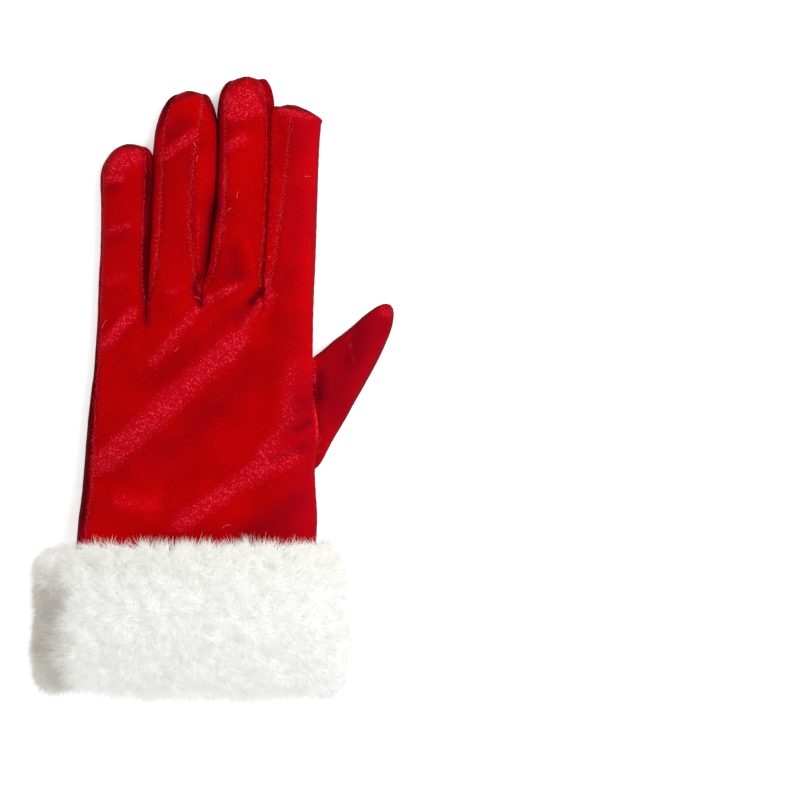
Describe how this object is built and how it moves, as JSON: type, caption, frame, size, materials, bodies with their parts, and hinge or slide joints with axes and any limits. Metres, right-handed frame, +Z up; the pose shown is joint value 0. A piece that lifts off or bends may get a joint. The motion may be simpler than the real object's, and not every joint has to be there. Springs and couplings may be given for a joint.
{
  "type": "costume_glove",
  "caption": "Red velvet costume glove for the left hand with a deep white plush cuff, lying palm down",
  "frame": {"origin": "under the middle of the glove's bounding box, on the surface it lies on", "axes": "X across the hand towards the thumb, Y towards the fingertips, Z up out of the back of the hand"},
  "size_m": [0.1456, 0.2511, 0.0431],
  "materials": {
    "velvet": "short-pile velvet with a sheen",
    "plush": "long-pile plush"
  },
  "bodies": {
    "root": {"back_panel": "velvet", "palm_panel": "velvet", "fourchette_little_ring": "velvet", "fourchette_ring_middle": "velvet", "fourchette_middle_index": "velvet", "thumb": "velvet", "fur_cuff": "plush"}
  },
  "joints": []
}
